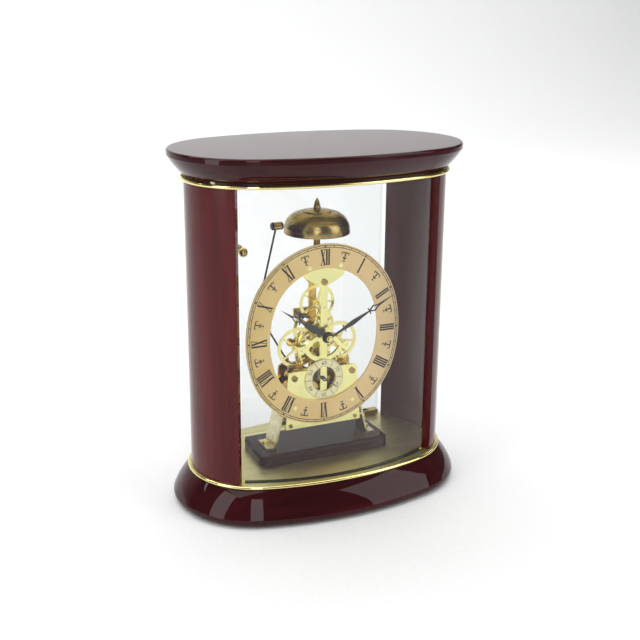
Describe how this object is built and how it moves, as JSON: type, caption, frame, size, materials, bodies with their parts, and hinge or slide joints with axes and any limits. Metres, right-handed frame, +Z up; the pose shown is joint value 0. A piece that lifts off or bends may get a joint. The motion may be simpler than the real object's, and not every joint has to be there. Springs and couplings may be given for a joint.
{
  "type": "mantel clock",
  "caption": "Oval gloss-wood mantel clock with curved glass front, skeleton movement, oval Roman dial, bell and hinged glass back door.",
  "frame": {"origin": "centre of the footprint, on the surface the clock stands on", "axes": "+Z up, the dial faces -Y, +X to the right as seen from the front"},
  "size_m": [0.2192, 0.1364, 0.2561],
  "materials": {
    "gloss_wood": "high gloss lacquer",
    "plate_brass": "brushed, polished edge",
    "glass": "clear",
    "bright_brass": "polished",
    "warm_brass": "polished",
    "dial_gold": "satin, printed",
    "bell_bronze": "antique",
    "black_steel": "satin black",
    "steel": "plain",
    "pad": "matt",
    "magnet": "matt"
  },
  "bodies": {
    "case": {"base": "gloss_wood", "base_pads": "pad", "floor_plate": "plate_brass", "side_panel_left": "gloss_wood", "side_panel_right": "gloss_wood", "front_glass": "glass", "top_plate": "plate_brass", "top_board": "gloss_wood", "panel_screws": "steel", "plinth_screws": "steel", "top_screws": "steel", "board_screws": "bright_brass", "hinge_brackets": "warm_brass", "door_catch": "magnet", "plinth": "gloss_wood", "leg_left": "warm_brass", "leg_right": "warm_brass", "foot_screws": "bright_brass", "plate_screws": "bright_brass", "front_plate": "bright_brass", "back_plate": "warm_brass", "top_pillar": "warm_brass", "bridge_pillars": "warm_brass", "bridge": "warm_brass", "dial_ring": "dial_gold", "dial_rivets": "bright_brass", "seconds_ring": "bright_brass", "bell": "bell_bronze", "bell_post": "bell_bronze", "bell_nut": "bell_bronze"},
    "door": {"door_glass": "glass", "door_shoes": "warm_brass", "door_knobs": "warm_brass", "knob_bolt": "steel"},
    "centre": {"centre_arbor": "warm_brass", "minute_hand": "black_steel", "hand_nut": "bright_brass"},
    "hour": {"hour_wheel": "bright_brass", "hour_hand": "black_steel"},
    "motion": {"minute_wheel": "bright_brass"},
    "right_train": {"right_wheel": "bright_brass"},
    "left_train": {"left_wheel": "bright_brass"},
    "second_train": {"second_wheel": "warm_brass"},
    "third_train": {"third_wheel": "bright_brass"},
    "seconds": {"seconds_arbor": "steel", "seconds_hand": "black_steel"},
    "time_drum": {"time_barrel": "warm_brass"},
    "time_winder": {"time_arbor": "steel"},
    "strike_drum": {"strike_barrel": "warm_brass"},
    "strike_winder": {"strike_arbor": "steel"},
    "top_train": {"top_wheel": "warm_brass"},
    "air_brake": {"fly": "black_steel"},
    "escape_lever": {"lever": "steel"},
    "balance_wheel": {"balance": "bright_brass"},
    "hammer": {"hammer_head": "warm_brass", "hammer_wire": "black_steel", "hammer_arbor": "warm_brass"}
  },
  "joints": [
    {"name": "door_hinge", "type": "hinge", "parent": "case", "child": "door", "pos_m": [0.0675, 0.0395, 0.13], "axis": [0, 0, -1], "range_deg": [0, 100]},
    {"name": "minute_spin", "type": "hinge", "parent": "case", "child": "centre", "pos_m": [0, 0, 0.1196], "axis": [0, -1, 0], "continuous": true},
    {"name": "hour_spin", "type": "hinge", "parent": "case", "child": "hour", "pos_m": [0, 0, 0.1196], "axis": [0, -1, 0], "continuous": true},
    {"name": "motion_spin", "type": "hinge", "parent": "case", "child": "motion", "pos_m": [0, 0, 0.1276], "axis": [0, -1, 0], "continuous": true},
    {"name": "right_spin", "type": "hinge", "parent": "case", "child": "right_train", "pos_m": [0.0176, 0, 0.1095], "axis": [0, -1, 0], "continuous": true},
    {"name": "left_spin", "type": "hinge", "parent": "case", "child": "left_train", "pos_m": [-0.0176, 0, 0.1095], "axis": [0, -1, 0], "continuous": true},
    {"name": "second_spin", "type": "hinge", "parent": "case", "child": "second_train", "pos_m": [0.01193, 0, 0.08991], "axis": [0, -1, 0], "continuous": true},
    {"name": "third_spin", "type": "hinge", "parent": "case", "child": "third_train", "pos_m": [-0.0028, 0, 0.1015], "axis": [0, -1, 0], "continuous": true},
    {"name": "seconds_spin", "type": "hinge", "parent": "case", "child": "seconds", "pos_m": [0, 0, 0.086], "axis": [0, -1, 0], "continuous": true},
    {"name": "time_drum_spin", "type": "hinge", "parent": "case", "child": "time_drum", "pos_m": [0.0156, 0, 0.0705], "axis": [0, -1, 0], "continuous": true},
    {"name": "time_wind", "type": "hinge", "parent": "case", "child": "time_winder", "pos_m": [0.0156, 0, 0.0705], "axis": [0, -1, 0], "continuous": true},
    {"name": "strike_drum_spin", "type": "hinge", "parent": "case", "child": "strike_drum", "pos_m": [-0.0156, 0, 0.0705], "axis": [0, -1, 0], "continuous": true},
    {"name": "strike_wind", "type": "hinge", "parent": "case", "child": "strike_winder", "pos_m": [-0.0156, 0, 0.0705], "axis": [0, -1, 0], "continuous": true},
    {"name": "top_spin", "type": "hinge", "parent": "case", "child": "top_train", "pos_m": [0, 0, 0.1404], "axis": [0, -1, 0], "continuous": true},
    {"name": "fly_spin", "type": "hinge", "parent": "case", "child": "air_brake", "pos_m": [-0.01323, 0, 0.13213], "axis": [0, -1, 0], "continuous": true},
    {"name": "lever_rock", "type": "hinge", "parent": "case", "child": "escape_lever", "pos_m": [0.00507, 0, 0.09125], "axis": [0, -1, 0], "range_deg": [-3, 3]},
    {"name": "balance_swing", "type": "hinge", "parent": "case", "child": "balance_wheel", "pos_m": [0.00931, 0, 0.09564], "axis": [0, -1, 0], "range_deg": [-135, 135], "stiffness_Nm_per_rad": 0.00002},
    {"name": "hammer_swing", "type": "hinge", "parent": "case", "child": "hammer", "pos_m": [-0.0215, 0.0015, 0.0956], "axis": [0, -1, 0], "range_deg": [-1.5, 8], "stiffness_Nm_per_rad": 0.12}
  ],
  "couplings": [
    {"joint": "hour_spin", "follows": "minute_spin", "ratio": 0.083333},
    {"joint": "motion_spin", "follows": "minute_spin", "ratio": -0.33333},
    {"joint": "right_spin", "follows": "minute_spin", "ratio": -0.4},
    {"joint": "second_spin", "follows": "minute_spin", "ratio": 0.085714},
    {"joint": "time_drum_spin", "follows": "minute_spin", "ratio": -0.020089},
    {"joint": "third_spin", "follows": "minute_spin", "ratio": -8},
    {"joint": "seconds_spin", "follows": "minute_spin", "ratio": 60},
    {"joint": "fly_spin", "follows": "top_spin", "ratio": -7}
  ]
}
